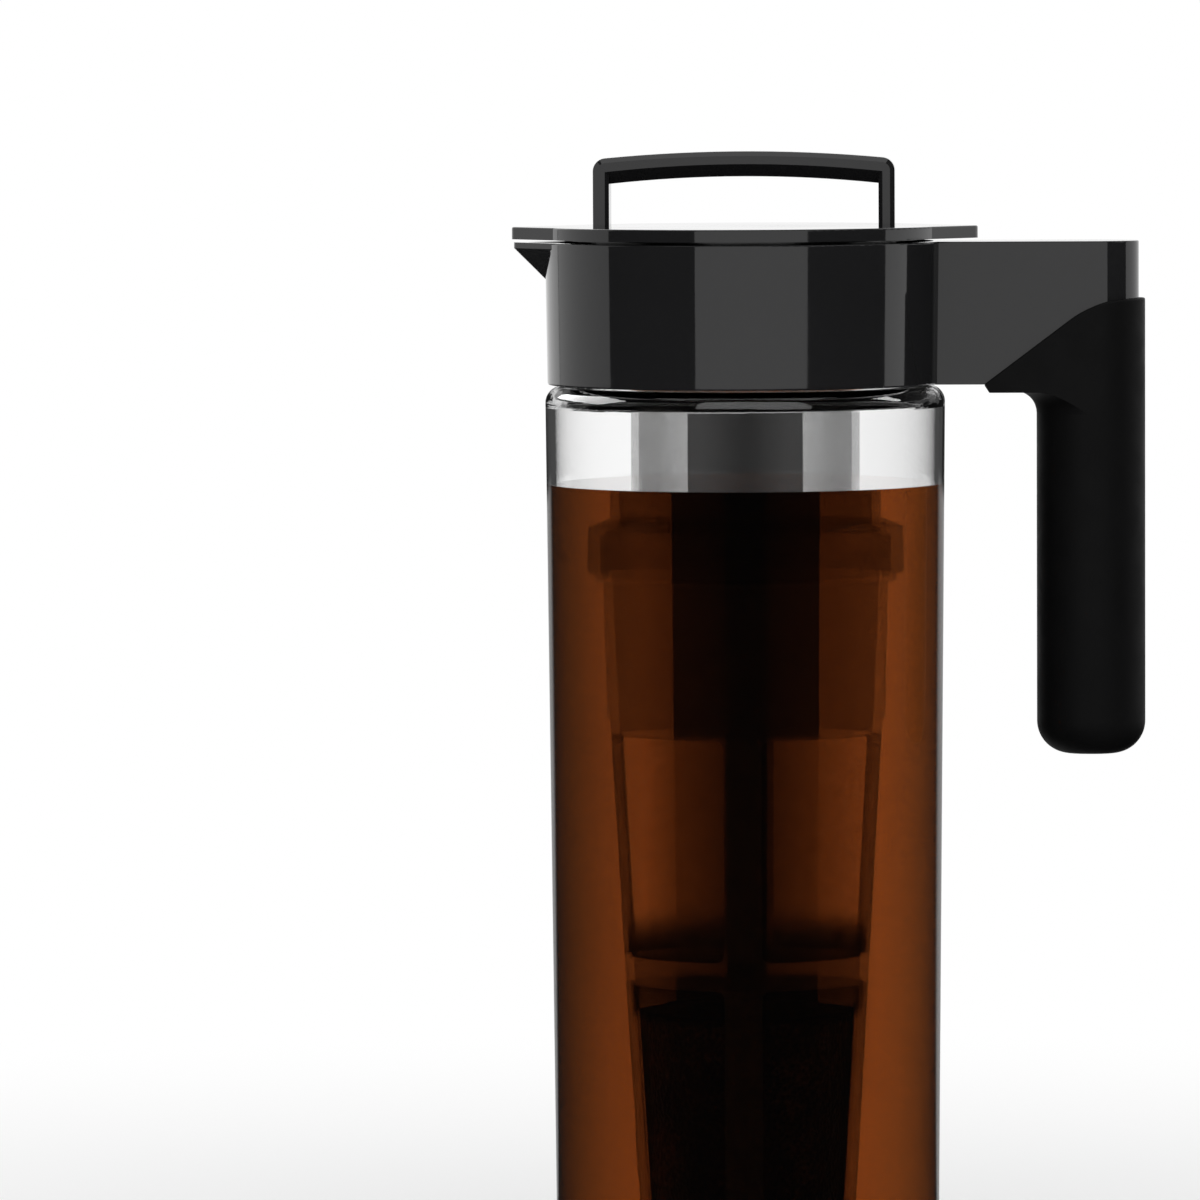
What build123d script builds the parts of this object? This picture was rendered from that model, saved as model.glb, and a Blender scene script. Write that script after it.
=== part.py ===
from build123d import *
import os

# Cold brew coffee maker: a glass carafe with a spouted collar and handle, closed by a lid that
# carries a hanging stem and a tall brewing filter.
# Millimetres. The carafe's axis is Z and it stands on Z = 0. The handle is towards +X, the spout
# towards -X.

os.makedirs("parts", exist_ok=True)

# ------------------------------------------------------------------------------------------------
# Driving dimensions
# ------------------------------------------------------------------------------------------------

# Glass carafe
body_radius = 52.1  # outside, at the shoulder
body_taper = 2.3  # how much narrower the radius is at the table
shoulder_height = 248.9
shoulder_width = 6.5  # from the body's side in to the neck's
glass_wall = 2.4
glass_floor = 4.6
heel_rounding = 9.0
heel_rounding_inside = 7.0
shoulder_rounding = 4.2
shoulder_rounding_inside = 3.0
neck_rounding = 2.0
neck_length = 18.6
bead_depth = 2.2
bead_height = 4.0
bead_root_rounding = 0.5
lip_rounding = 0.9
punt_rim = 7.8  # from the foot ring in to the punt, measured at the heel's end
punt_rise = 1.6

# Collar, its spout and its handle arm
collar_gap = 0.5  # between the glass shoulder and the collar
collar_inset = 0.1  # the collar's top edge stands this far inside the glass
collar_height = 37.0
collar_draft = 0.5
collar_wall = 2.8
collar_edge = 0.5
spout_sink = 0.4  # how deep the spout's facets start in the collar's face
spout_half_width = 17.4
spout_overhang = 8.9  # to the sharp corner, before it is rounded
spout_tip_rounding = 3.3
spout_lip = 1.5
spout_drop = 8.6
spout_wall = 2.0
spout_root_width = 2.0  # where the pyramid runs out
spout_root_rounding = 0.2
channel_root_rounding = 0.4
arm_half_width = 11.8
arm_edge = 0.4
arm_wall = 2.6
boss_radius = 3.2

# Liner that carries the throat
liner_depth = 8.0  # from the collar's rim to the liner's top edge, at the wall
liner_fall = 3.2
liner_play = 0.4  # between the sleeve and the glass
liner_sleeve_wall = 1.8
liner_sleeve_length = 11.5
liner_mouth_rounding = 1.5

# Neck seal and the two half rings that hold the bead
neck_seal_height = 1.2
neck_seal_inset = 0.4
retainer_gap = 0.3
retainer_lift = 4.1  # from the glass shoulder to the half rings
retainer_split = 2.0

# Handle core, its screws and the grip
finger_gap = 23.8  # between the glass and the grip
grip_depth = 28.2  # along X
grip_proud = 1.6
grip_under = 2.1
grip_wall = 3.0
grip_top_drop = 14.7  # below the collar's rim
grip_length = 118.8
grip_bottom_rounding = 8.5
grip_corner_rounding = 5.7
grip_edge_rounding = 0.5
grip_top_slope = 0.3  # least upward tilt of the faces whose edges are rounded
grip_top_fall = 0.9
grip_slope_inset = 13.3  # from the grip's outer side to the top of its slope
grip_toe = 13.6  # from the grip's inner side forward to its toe
grip_toe_slant = 1.4
grip_shoulder_rounding = 26.0
core_wall = 2.8
core_tongue = 11.0
core_tongue_reach = 10.9  # from the grip's inner side forward
core_plate = 4.0
screw_spacing = 9.0
screw_shank_radius = 1.5
screw_shank_length = 16.0
screw_head_radius = 2.6
screw_head_height = 2.2

# Lid
lid_gap = 0.8  # between the collar's rim and the lid
lid_rim_height = 3.2
lid_plate = 2.0
lid_rim_wall = 2.2
lid_overhang = 9.5  # to the sharp point, before it is rounded
lid_half_width = 17.5
lid_tip_rounding = 3.5
lid_edge = 0.45
arch_half_length = 39.2
arch_height = 19.5
arch_depth = 14.0
arch_leg = 4.2
arch_thickness = 6.5
arch_top_radius = 385.0
arch_under_radius = 330.0
arch_corner_rounding = 3.4
arch_rim_chamfer = 1.2
arch_leg_chamfer = 1.05
arch_under_chamfer = 3.2
tenon_length = 8.0
tenon_width = 2.2

# Plug under the lid, with its seal and the stem's socket
plug_play = 1.4  # between the plug's skirt and the throat
plug_flange_inset = 4.3  # from the cover's rim wall
plug_flange = 1.6
plug_skirt_wall = 2.4
plug_skirt_reach = 6.4  # below the liner's floor
plug_window_width = 30.0
plug_window_height = 8.0
plug_window_rounding = 2.5
socket_wall = 2.2
socket_length = 8.0
seal_height = 4.4
seal_groove_depth = 1.3
seal_rise = 2.2  # the skirt's end to the groove
seal_squeeze_gap = 0.2  # free space left at the throat
seal_lip = 0.9
ring_play = 0.15  # a loose ring in its seat

# Stem and the cap that the filter screws into
stem_radius = 29.8
stem_wall = 2.0
stem_length = 72.0  # from the plug to the cap's chamfer
stem_gasket_height = 1.0
cap_height = 14.6
cap_chamfer_height = 2.6
cap_flare = 4.8
cap_draft = 0.3
cap_wall = 2.9
cap_bore_depth = 10.0
cap_edge = 0.8

# Filter
flange_inset = 1.7  # from the cap's side
flange_height = 1.0
gasket_height = 0.8
gasket_play = 0.1
filter_neck_play = 0.6
filter_neck_length = 7.0
filter_wall = 2.0
filter_head_length = 35.7
filter_head_draft = 0.8
filter_head_step = 0.6
frame_taper = 7.2  # on the radius, from the head's step to the floor
filter_floor_gap = 9.4  # from the glass floor to the filter
rib_width = 9.0
window_rounding = 2.2
window_top_band = 3.9
upper_window_height = 57.7
crossbar_height = 7.3
window_bottom_band = 8.0
mesh_thickness = 0.4
mesh_inset = 0.8
floor_ring_width = 4.2
floor_thickness = 2.0

# ------------------------------------------------------------------------------------------------
# Places worked out from the sizes
# ------------------------------------------------------------------------------------------------

base_radius = body_radius - body_taper
punt_radius = base_radius - heel_rounding - punt_rim
neck_radius = body_radius - shoulder_width
neck_bore_radius = neck_radius - glass_wall
bead_radius = neck_radius + bead_depth
lip_height = shoulder_height + neck_length
bead_bottom = lip_height - bead_height
retainer_bottom = shoulder_height + retainer_lift

collar_bottom = shoulder_height + collar_gap
collar_top = collar_bottom + collar_height
collar_radius_top = body_radius - collar_inset
collar_radius_bottom = collar_radius_top - collar_draft
collar_bore_radius = collar_radius_top - collar_wall
spout_root_radius = collar_radius_top - spout_sink
spout_root = (spout_root_radius**2 - spout_half_width**2) ** 0.5
spout_reach = collar_radius_top + spout_overhang
spout_bottom = collar_top - spout_lip - spout_drop
channel_half_width = spout_half_width + spout_wall
channel_reach = spout_reach - 2 * spout_wall
channel_root = collar_bore_radius + spout_wall

liner_bottom = lip_height + neck_seal_height
liner_top = collar_top - liner_depth
sleeve_radius = neck_bore_radius - liner_play
liner_throat_radius = sleeve_radius - liner_sleeve_wall

grip_inner_side = body_radius + finger_gap
grip_reach = grip_inner_side + grip_depth
arm_reach = grip_reach - grip_proud
arm_center = arm_reach - arm_half_width
arm_roof = collar_top - arm_wall
grip_half_width = arm_half_width + grip_proud
grip_center = grip_reach - grip_half_width
grip_inner_center = grip_inner_side + grip_half_width
grip_underside = collar_bottom - grip_under
grip_top_height = collar_top - grip_top_drop
grip_bottom_height = grip_top_height - grip_length
grip_slope_start = grip_reach - grip_slope_inset
grip_toe_reach = grip_inner_side - grip_toe
core_radius = grip_half_width - grip_wall
core_bottom = grip_bottom_height + grip_wall
core_plate_bottom = collar_bottom + core_tongue - core_plate
arm_socket_start = grip_inner_side - core_tongue_reach
screw_center = (grip_inner_center + grip_center) / 2
screw_places = [(screw_center - screw_spacing / 2, 0), (screw_center + screw_spacing / 2, 0)]

lid_bottom = collar_top + lid_gap
lid_top = lid_bottom + lid_rim_height
lid_pocket_top = lid_top - lid_plate
lid_radius = collar_radius_top
lid_reach = lid_radius + lid_overhang
lid_root = (lid_radius**2 - lid_half_width**2) ** 0.5
arch_top = lid_top + arch_height
arch_under = arch_top - arch_thickness
arch_inner_half = arch_half_length - arch_leg
arch_leg_center = arch_half_length - arch_leg / 2
arch_corner_drop = arch_half_length**2 / (2 * arch_top_radius)
arch_inner_drop = arch_inner_half**2 / (2 * arch_under_radius)

plug_top = lid_pocket_top
plug_under = plug_top - plug_flange
plug_flange_radius = lid_radius - lid_rim_wall - plug_flange_inset
plug_radius = liner_throat_radius - plug_play
plug_bore_radius = plug_radius - plug_skirt_wall
plug_bottom = liner_bottom - plug_skirt_reach
plug_window_middle = liner_top - liner_fall + liner_mouth_rounding + plug_window_height / 2
groove_bottom = plug_bottom + seal_rise
groove_top = groove_bottom + seal_height
groove_radius = plug_radius - seal_groove_depth
seal_radius = liner_throat_radius - seal_squeeze_gap
seal_waist_radius = seal_radius - seal_lip
seal_base_radius = groove_radius + ring_play
seal_bottom = groove_bottom + ring_play
seal_top = groove_top - ring_play

stem_bore_radius = stem_radius - stem_wall
stem_top = plug_under - stem_gasket_height
cap_top_height = plug_under - stem_length
cap_bottom_height = cap_top_height - cap_height
cap_radius_top = stem_radius + cap_flare
cap_radius_bottom = cap_radius_top + cap_draft
cap_bore_radius = cap_radius_bottom - cap_wall
cap_bore_top = cap_bottom_height + cap_bore_depth

flange_top = cap_bottom_height - gasket_height - 2 * gasket_play
flange_bottom = flange_top - flange_height
flange_radius = cap_radius_bottom - flange_inset
filter_neck_radius = cap_bore_radius - filter_neck_play
filter_neck_top = flange_top + filter_neck_length
filter_head_bottom = flange_bottom - filter_head_length
filter_head_radius_bottom = filter_neck_radius - filter_head_draft
frame_radius_top = filter_head_radius_bottom - filter_head_step
frame_radius_bottom = frame_radius_top - frame_taper
filter_bottom_height = glass_floor + filter_floor_gap
upper_window_top = filter_head_bottom - window_top_band
crossbar_top = upper_window_top - upper_window_height
crossbar_bottom = crossbar_top - crossbar_height
lower_window_bottom = filter_bottom_height + window_bottom_band


# ------------------------------------------------------------------------------------------------
# Shared profiles
# ------------------------------------------------------------------------------------------------


def pointed_outline(root, half_width, reach, rounding):
    """A triangle from the line x = -root to a rounded point on -X."""
    Polygon((-root, half_width), (-reach, 0), (-root, -half_width), align=None)
    tip = vertices().sort_by(Axis.X)[0]
    fillet(tip, radius=rounding)


def stadium(center_low, center_high, radius):
    """An outline with two round ends on the X axis."""
    with Locations((center_low, 0), (center_high, 0)):
        Circle(radius)
    with Locations(((center_low + center_high) / 2, 0)):
        Rectangle(center_high - center_low, 2 * radius)


def frame_radius_at(height):
    """Outside radius of the tapered filter frame at a height."""
    taper = (frame_radius_top - frame_radius_bottom) / (filter_head_bottom - filter_bottom_height)
    return frame_radius_bottom + taper * (height - filter_bottom_height)


def window_cutter(low, high):
    """A block that cuts one quarter's window between two ribs, with rounded corners."""
    with BuildPart(Plane.XY.offset(low)) as cutter:
        with BuildSketch(Plane.XY.offset(low)):
            with Locations((rib_width / 2, rib_width / 2)):
                Rectangle(body_radius, body_radius, align=(Align.MIN, Align.MIN))
        extrude(amount=high - low)
        sides = cutter.edges().filter_by(Axis.X).group_by(Axis.Y)[0]
        sides += cutter.edges().filter_by(Axis.Y).group_by(Axis.X)[0]
        fillet(sides, radius=window_rounding)
    return cutter.part


def mesh_panels(low, high):
    """Four curved mesh panels that fill one tier of windows."""
    outer_low = frame_radius_at(low) - mesh_inset
    outer_high = frame_radius_at(high) - mesh_inset
    with BuildPart() as shell:
        with BuildSketch(Plane.XZ):
            with BuildLine():
                Polyline(
                    (outer_low, low),
                    (outer_high, high),
                    (outer_high - mesh_thickness, high),
                    (outer_low - mesh_thickness, low),
                    close=True,
                )
            make_face()
        revolve(axis=Axis.Z)
    with BuildPart() as windows:
        with PolarLocations(0, 4):
            add(window_cutter(low, high))
    with BuildPart() as panels:
        add(shell.part)
        add(windows.part, mode=Mode.INTERSECT)
    return panels.part


# ------------------------------------------------------------------------------------------------
# Glass carafe: a drafted body on a flat foot ring, a rounded shoulder and a beaded neck
# ------------------------------------------------------------------------------------------------

with BuildPart() as glass_carafe:
    with BuildSketch(Plane.XZ):
        with BuildLine():
            outline = FilletPolyline(
                (0, punt_rise),
                (punt_radius, 0),
                (base_radius, 0),
                (body_radius, shoulder_height),
                (neck_radius, shoulder_height),
                (neck_radius, bead_bottom),
                (bead_radius, bead_bottom),
                (bead_radius, lip_height),
                (neck_bore_radius, lip_height),
                (neck_bore_radius, shoulder_height - glass_wall),
                (body_radius - glass_wall, shoulder_height - glass_wall),
                (base_radius - glass_wall, glass_floor),
                (0, glass_floor),
                radius=[
                    heel_rounding,
                    heel_rounding,
                    shoulder_rounding,
                    neck_rounding,
                    bead_root_rounding,
                    lip_rounding,
                    lip_rounding,
                    lip_rounding,
                    neck_rounding,
                    shoulder_rounding_inside,
                    heel_rounding_inside,
                ],
            )
            Line(outline @ 1, outline @ 0)
        make_face()
    revolve(axis=Axis.Z)

glass_carafe.part.label = "glass_carafe"
export_step(glass_carafe.part, "parts/glass_carafe.step")

# ------------------------------------------------------------------------------------------------
# Neck seal: the soft ring between the glass lip and the liner
# ------------------------------------------------------------------------------------------------

with BuildPart() as neck_seal:
    with BuildSketch(Plane.XY.offset(lip_height)):
        Circle(bead_radius - neck_seal_inset)
        Circle(neck_bore_radius + neck_seal_inset, mode=Mode.SUBTRACT)
    extrude(amount=neck_seal_height)

neck_seal.part.label = "neck_seal"
export_step(neck_seal.part, "parts/neck_seal.step")

# ------------------------------------------------------------------------------------------------
# Neck retainers: two half rings under the bead, held in the collar's bore
# ------------------------------------------------------------------------------------------------


def neck_retainer(side):
    """One half ring on the side of Y that the sign gives."""
    with BuildPart() as half_ring:
        with BuildSketch(Plane.XY.offset(bead_bottom)):
            Circle(collar_bore_radius)
            Circle(neck_radius + retainer_gap, mode=Mode.SUBTRACT)
            with Locations((0, -side * (collar_bore_radius - retainer_split / 2))):
                Rectangle(2 * body_radius, 2 * collar_bore_radius, mode=Mode.SUBTRACT)
        extrude(amount=retainer_bottom - bead_bottom)
        top_arcs = half_ring.edges().filter_by(GeomType.CIRCLE).group_by(Axis.Z)[-1]
        chamfer(top_arcs.sort_by(SortBy.RADIUS)[0], length=bead_root_rounding)
    return half_ring.part


for retainer_name, retainer_side in (("neck_retainer_front", -1), ("neck_retainer_rear", 1)):
    retainer = neck_retainer(retainer_side)
    retainer.label = retainer_name
    export_step(retainer, f"parts/{retainer_name}.step")

# ------------------------------------------------------------------------------------------------
# Collar shell: drafted ring, pyramid spout with its pouring channel, and the hollow handle arm
# ------------------------------------------------------------------------------------------------

with BuildPart() as collar_shell:
    with BuildSketch(Plane.XZ):
        with BuildLine():
            Polyline(
                (0, collar_bottom),
                (collar_radius_bottom, collar_bottom),
                (collar_radius_top, collar_top),
                (0, collar_top),
                close=True,
            )
        make_face()
    revolve(axis=Axis.Z)
    fillet(collar_shell.edges().group_by(Axis.Z)[0], radius=collar_edge)
    # handle arm, round at its end
    with BuildSketch(Plane.XY.offset(collar_bottom)):
        stadium(0, arm_center, arm_half_width)
    extrude(amount=collar_height)
    fillet(collar_shell.faces().sort_by(Axis.Z)[-1].outer_wire().edges(), radius=arm_edge)
    # spout: a short upright lip over a pyramid that runs back into the wall
    with BuildSketch(Plane.XY.offset(collar_top)):
        pointed_outline(spout_root, spout_half_width, spout_reach, spout_tip_rounding)
    extrude(amount=-spout_lip)
    with BuildSketch(Plane.XY.offset(collar_top - spout_lip)):
        pointed_outline(spout_root, spout_half_width, spout_reach, spout_tip_rounding)
    with BuildSketch(Plane.XY.offset(spout_bottom)):
        pointed_outline(spout_root, spout_root_width / 2, collar_radius_top, spout_root_rounding)
    loft()
    # bore for the retainers, the seal and the liner
    with BuildSketch(Plane.XY.offset(collar_bottom)):
        Circle(collar_bore_radius)
    extrude(amount=collar_height, mode=Mode.SUBTRACT)
    # pouring channel, open to the mouth
    with BuildSketch(Plane.XY.offset(collar_top)):
        pointed_outline(liner_throat_radius, channel_half_width, channel_reach, spout_wall)
    with BuildSketch(Plane.XY.offset(spout_bottom + spout_wall)):
        pointed_outline(liner_throat_radius, spout_wall, channel_root, channel_root_rounding)
    loft(mode=Mode.SUBTRACT)
    # socket in the arm for the handle core, with two screw bosses left standing
    with BuildSketch(Plane.XY.offset(collar_bottom)):
        stadium(arm_socket_start, arm_center, arm_half_width - arm_wall)
        with Locations(screw_places):
            Circle(boss_radius, mode=Mode.SUBTRACT)
    extrude(amount=arm_roof - collar_bottom, mode=Mode.SUBTRACT)
    with BuildSketch(Plane.XY.offset(collar_bottom)):
        stadium(arm_socket_start, arm_center, arm_half_width - arm_wall)
    extrude(amount=core_tongue, mode=Mode.SUBTRACT)
    with Locations(Plane.XY.offset(collar_bottom + core_tongue)):
        with Locations(screw_places):
            Cylinder(
                screw_shank_radius,
                screw_shank_length - core_plate,
                align=(Align.CENTER, Align.CENTER, Align.MIN),
                mode=Mode.SUBTRACT,
            )

collar_shell.part.label = "collar_shell"
export_step(collar_shell.part, "parts/collar_shell.step")

# ------------------------------------------------------------------------------------------------
# Collar liner: funnel floor, throat and the sleeve that reaches into the glass neck
# ------------------------------------------------------------------------------------------------

with BuildPart() as collar_liner:
    with BuildSketch(Plane.XZ):
        with BuildLine():
            Polyline(
                (collar_bore_radius, liner_bottom),
                (collar_bore_radius, liner_top),
                (liner_throat_radius, liner_top - liner_fall),
                (liner_throat_radius, liner_bottom - liner_sleeve_length),
                (sleeve_radius, liner_bottom - liner_sleeve_length),
                (sleeve_radius, liner_bottom),
                close=True,
            )
        make_face()
        throat_corner = vertices().filter_by_position(
            Axis.Y, liner_top - liner_fall, liner_top - liner_fall
        )
        fillet(throat_corner, radius=liner_mouth_rounding)
    revolve(axis=Axis.Z)

collar_liner.part.label = "collar_liner"
export_step(collar_liner.part, "parts/collar_liner.step")

# ------------------------------------------------------------------------------------------------
# Handle core: the stiff tube inside the grip, with a tongue in the arm's socket
# ------------------------------------------------------------------------------------------------

with BuildPart() as handle_core:
    with BuildSketch(Plane.XY.offset(core_bottom)):
        stadium(grip_inner_center, grip_center, core_radius)
    extrude(amount=collar_bottom - core_bottom)
    with BuildSketch(Plane.XY.offset(collar_bottom)):
        stadium(arm_socket_start, arm_center, arm_half_width - arm_wall)
    extrude(amount=core_tongue)
    # hollow from below, up to the plate that the screws clamp
    with BuildSketch(Plane.XY.offset(core_bottom)):
        stadium(grip_inner_center, grip_center, core_radius - core_wall)
    extrude(amount=core_plate_bottom - core_bottom, mode=Mode.SUBTRACT)
    with Locations(Plane.XY.offset(core_plate_bottom)):
        with Locations(screw_places):
            Cylinder(
                screw_shank_radius,
                core_plate,
                align=(Align.CENTER, Align.CENTER, Align.MIN),
                mode=Mode.SUBTRACT,
            )

handle_core.part.label = "handle_core"
export_step(handle_core.part, "parts/handle_core.step")

# ------------------------------------------------------------------------------------------------
# Core screws: two pan-head screws up into the arm's bosses
# ------------------------------------------------------------------------------------------------

with BuildPart() as core_screws:
    with Locations(Plane.XY.offset(core_plate_bottom)):
        with Locations(screw_places):
            Cylinder(
                screw_shank_radius, screw_shank_length, align=(Align.CENTER, Align.CENTER, Align.MIN)
            )
            Cylinder(
                screw_head_radius, screw_head_height, align=(Align.CENTER, Align.CENTER, Align.MAX)
            )

core_screws.part.label = "core_screws"
export_step(core_screws.part, "parts/core_screws.step")

# ------------------------------------------------------------------------------------------------
# Handle grip: a soft sleeve with a sloping shoulder over the arm and a round bar below it
# ------------------------------------------------------------------------------------------------

with BuildPart() as handle_grip:
    # sleeve round the arm
    with BuildSketch(Plane.XY.offset(grip_underside)):
        stadium(0, grip_center, grip_half_width)
    extrude(amount=grip_top_height - grip_underside)
    # sloping shoulder and slanted toe, seen from the side
    with BuildSketch(Plane.XZ):
        with BuildLine():
            shoulder = FilletPolyline(
                (grip_reach + grip_wall, grip_top_height),
                (grip_slope_start, grip_top_height - grip_top_fall),
                (grip_toe_reach, collar_bottom),
                radius=grip_shoulder_rounding,
            )
            Polyline(
                shoulder @ 1,
                (grip_toe_reach + grip_toe_slant, grip_underside),
                (grip_reach + grip_wall, grip_underside),
                shoulder @ 0,
            )
        make_face()
    extrude(amount=grip_half_width, both=True, mode=Mode.INTERSECT)
    top_faces = handle_grip.faces().filter_by(lambda face: face.normal_at().Z > grip_top_slope)
    fillet(top_faces.edges(), radius=grip_edge_rounding)
    # round bar with a domed end
    with BuildSketch(Plane.XY.offset(grip_bottom_height)):
        stadium(grip_inner_center, grip_center, grip_half_width)
    extrude(amount=grip_underside - grip_bottom_height)
    fillet(handle_grip.faces().sort_by(Axis.Z)[0].outer_wire().edges(), radius=grip_bottom_rounding)

# ring-shaped blend under the sleeve, round the bar's inner side and trimmed to the sleeve's sides
with BuildPart() as grip_blend:
    with BuildSketch(Plane(origin=(grip_inner_center, 0, 0), x_dir=(1, 0, 0), z_dir=(0, -1, 0))):
        with BuildLine():
            Line(
                (grip_half_width, grip_underside),
                (grip_half_width + grip_corner_rounding, grip_underside),
            )
            RadiusArc(
                (grip_half_width + grip_corner_rounding, grip_underside),
                (grip_half_width, grip_underside - grip_corner_rounding),
                -grip_corner_rounding,
            )
            Line(
                (grip_half_width, grip_underside - grip_corner_rounding),
                (grip_half_width, grip_underside),
            )
        make_face()
    revolve(axis=Axis((grip_inner_center, 0, 0), (0, 0, 1)))
    with BuildSketch(Plane.XY.offset(grip_bottom_height)):
        with Locations((grip_inner_center, 0)):
            Rectangle(
                2 * grip_depth, 2 * grip_half_width, align=(Align.MAX, Align.CENTER)
            )
    extrude(amount=grip_top_height - grip_bottom_height, mode=Mode.INTERSECT)

with handle_grip:
    add(grip_blend.part)
    # room for the arm and for the core
    with BuildSketch(Plane.XY.offset(collar_bottom)):
        stadium(0, arm_center, arm_half_width)
    extrude(amount=collar_height, mode=Mode.SUBTRACT)
    with BuildSketch(Plane.XY.offset(core_bottom)):
        stadium(grip_inner_center, grip_center, core_radius)
    extrude(amount=collar_bottom - core_bottom, mode=Mode.SUBTRACT)

handle_grip.part.label = "handle_grip"
export_step(handle_grip.part, "parts/handle_grip.step")

# ------------------------------------------------------------------------------------------------
# Lid cover: a flat disc with a point over the spout and one over the arm
# ------------------------------------------------------------------------------------------------

with BuildPart() as lid_cover:
    with BuildSketch(Plane.XY.offset(lid_bottom)):
        Circle(lid_radius)
    extrude(amount=lid_rim_height)
    with BuildSketch(Plane.XY.offset(lid_bottom)):
        pointed_outline(lid_root, lid_half_width, lid_reach, lid_tip_rounding)
        mirror(about=Plane.YZ)
    extrude(amount=lid_rim_height)
    fillet(lid_cover.faces().sort_by(Axis.Z)[-1].outer_wire().edges(), radius=lid_edge)
    with BuildSketch(Plane.XY.offset(lid_bottom)):
        Circle(lid_radius - lid_rim_wall)
    extrude(amount=lid_pocket_top - lid_bottom, mode=Mode.SUBTRACT)
    # slots for the arch's tenons
    with BuildSketch(Plane.XY.offset(lid_top)):
        with Locations((-arch_leg_center, 0), (arch_leg_center, 0)):
            Rectangle(tenon_width, tenon_length)
    extrude(amount=-lid_plate, mode=Mode.SUBTRACT)

lid_cover.part.label = "lid_cover"
export_step(lid_cover.part, "parts/lid_cover.step")

# ------------------------------------------------------------------------------------------------
# Lid handle: a low arch with bevelled edges, on tenons through the cover
# ------------------------------------------------------------------------------------------------

with BuildPart() as lid_handle:
    with BuildSketch(Plane.XZ):
        with BuildLine():
            ThreePointArc(
                (-arch_half_length, arch_top - arch_corner_drop),
                (0, arch_top),
                (arch_half_length, arch_top - arch_corner_drop),
            )
            Polyline(
                (arch_half_length, arch_top - arch_corner_drop),
                (arch_half_length, lid_top),
                (arch_inner_half, lid_top),
                (arch_inner_half, arch_under - arch_inner_drop),
            )
            ThreePointArc(
                (arch_inner_half, arch_under - arch_inner_drop),
                (0, arch_under),
                (-arch_inner_half, arch_under - arch_inner_drop),
            )
            Polyline(
                (-arch_inner_half, arch_under - arch_inner_drop),
                (-arch_inner_half, lid_top),
                (-arch_half_length, lid_top),
                (-arch_half_length, arch_top - arch_corner_drop),
            )
        make_face()
    extrude(amount=arch_depth / 2, both=True)
    outer_corners = lid_handle.edges().filter_by(Axis.Y).group_by(Axis.Z)[-1]
    fillet(outer_corners, radius=arch_corner_rounding)
    side_edges = lid_handle.edges().filter_by(lambda edge: abs(edge.center().Y) > arch_depth / 4)
    under_edges = side_edges.filter_by(GeomType.CIRCLE).group_by(Axis.Z)[0]
    rim_edges = side_edges.filter_by(lambda edge: abs(edge.center().X) > arch_leg_center)
    rim_edges += side_edges.filter_by(GeomType.CIRCLE).group_by(Axis.Z)[-1]
    chamfer(rim_edges, length=arch_rim_chamfer)
    chamfer(under_edges, length=arch_under_chamfer)
    leg_edges = lid_handle.edges().filter_by(Axis.Z).filter_by(
        lambda edge: abs(edge.center().X) < arch_leg_center and abs(edge.center().Y) > arch_depth / 4
    )
    chamfer(leg_edges, length=arch_leg_chamfer)
    # tenons down through the cover's slots
    with BuildSketch(Plane.XY.offset(lid_top)):
        with Locations((-arch_leg_center, 0), (arch_leg_center, 0)):
            Rectangle(tenon_width, tenon_length)
    extrude(amount=-lid_plate)

lid_handle.part.label = "lid_handle"
export_step(lid_handle.part, "parts/lid_handle.step")

# ------------------------------------------------------------------------------------------------
# Lid plug: flange under the cover, skirt with two pouring windows, and the stem's socket
# ------------------------------------------------------------------------------------------------

with BuildPart() as lid_plug:
    with BuildSketch(Plane.XZ):
        with BuildLine():
            Polyline(
                (0, plug_top),
                (plug_flange_radius, plug_top),
                (plug_flange_radius, plug_under),
                (plug_radius, plug_under),
                (plug_radius, groove_top),
                (groove_radius, groove_top),
                (groove_radius, groove_bottom),
                (plug_radius, groove_bottom),
                (plug_radius, plug_bottom),
                (plug_bore_radius, plug_bottom),
                (plug_bore_radius, plug_under),
                (0, plug_under),
                close=True,
            )
        make_face()
    revolve(axis=Axis.Z)
    # pouring windows through the skirt, on the two sides away from the points
    with BuildSketch(Plane.XZ):
        with Locations((0, plug_window_middle)):
            RectangleRounded(plug_window_width, plug_window_height, plug_window_rounding)
    extrude(amount=plug_flange_radius, both=True, mode=Mode.SUBTRACT)
    # socket for the stem
    with BuildSketch(Plane.XY.offset(plug_under)):
        Circle(stem_radius + socket_wall)
        Circle(stem_radius, mode=Mode.SUBTRACT)
    extrude(amount=-socket_length)

lid_plug.part.label = "lid_plug"
export_step(lid_plug.part, "parts/lid_plug.step")

# ------------------------------------------------------------------------------------------------
# Lid seal: a two-lipped ring in the skirt's groove
# ------------------------------------------------------------------------------------------------

with BuildPart() as lid_seal:
    with BuildSketch(Plane.XZ):
        with BuildLine():
            Polyline(
                (seal_base_radius, seal_bottom),
                (seal_waist_radius, seal_bottom),
                (seal_radius, seal_bottom + seal_lip),
                (seal_waist_radius, seal_bottom + 2 * seal_lip),
                (seal_waist_radius, seal_top - 2 * seal_lip),
                (seal_radius, seal_top - seal_lip),
                (seal_waist_radius, seal_top),
                (seal_base_radius, seal_top),
                close=True,
            )
        make_face()
    revolve(axis=Axis.Z)

lid_seal.part.label = "lid_seal"
export_step(lid_seal.part, "parts/lid_seal.step")

# ------------------------------------------------------------------------------------------------
# Stem gasket: the flat ring between the stem's end and the plug
# ------------------------------------------------------------------------------------------------

with BuildPart() as stem_gasket:
    with BuildSketch(Plane.XY.offset(stem_top)):
        Circle(stem_radius)
        Circle(stem_bore_radius, mode=Mode.SUBTRACT)
    extrude(amount=stem_gasket_height)

stem_gasket.part.label = "stem_gasket"
export_step(stem_gasket.part, "parts/stem_gasket.step")

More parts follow.
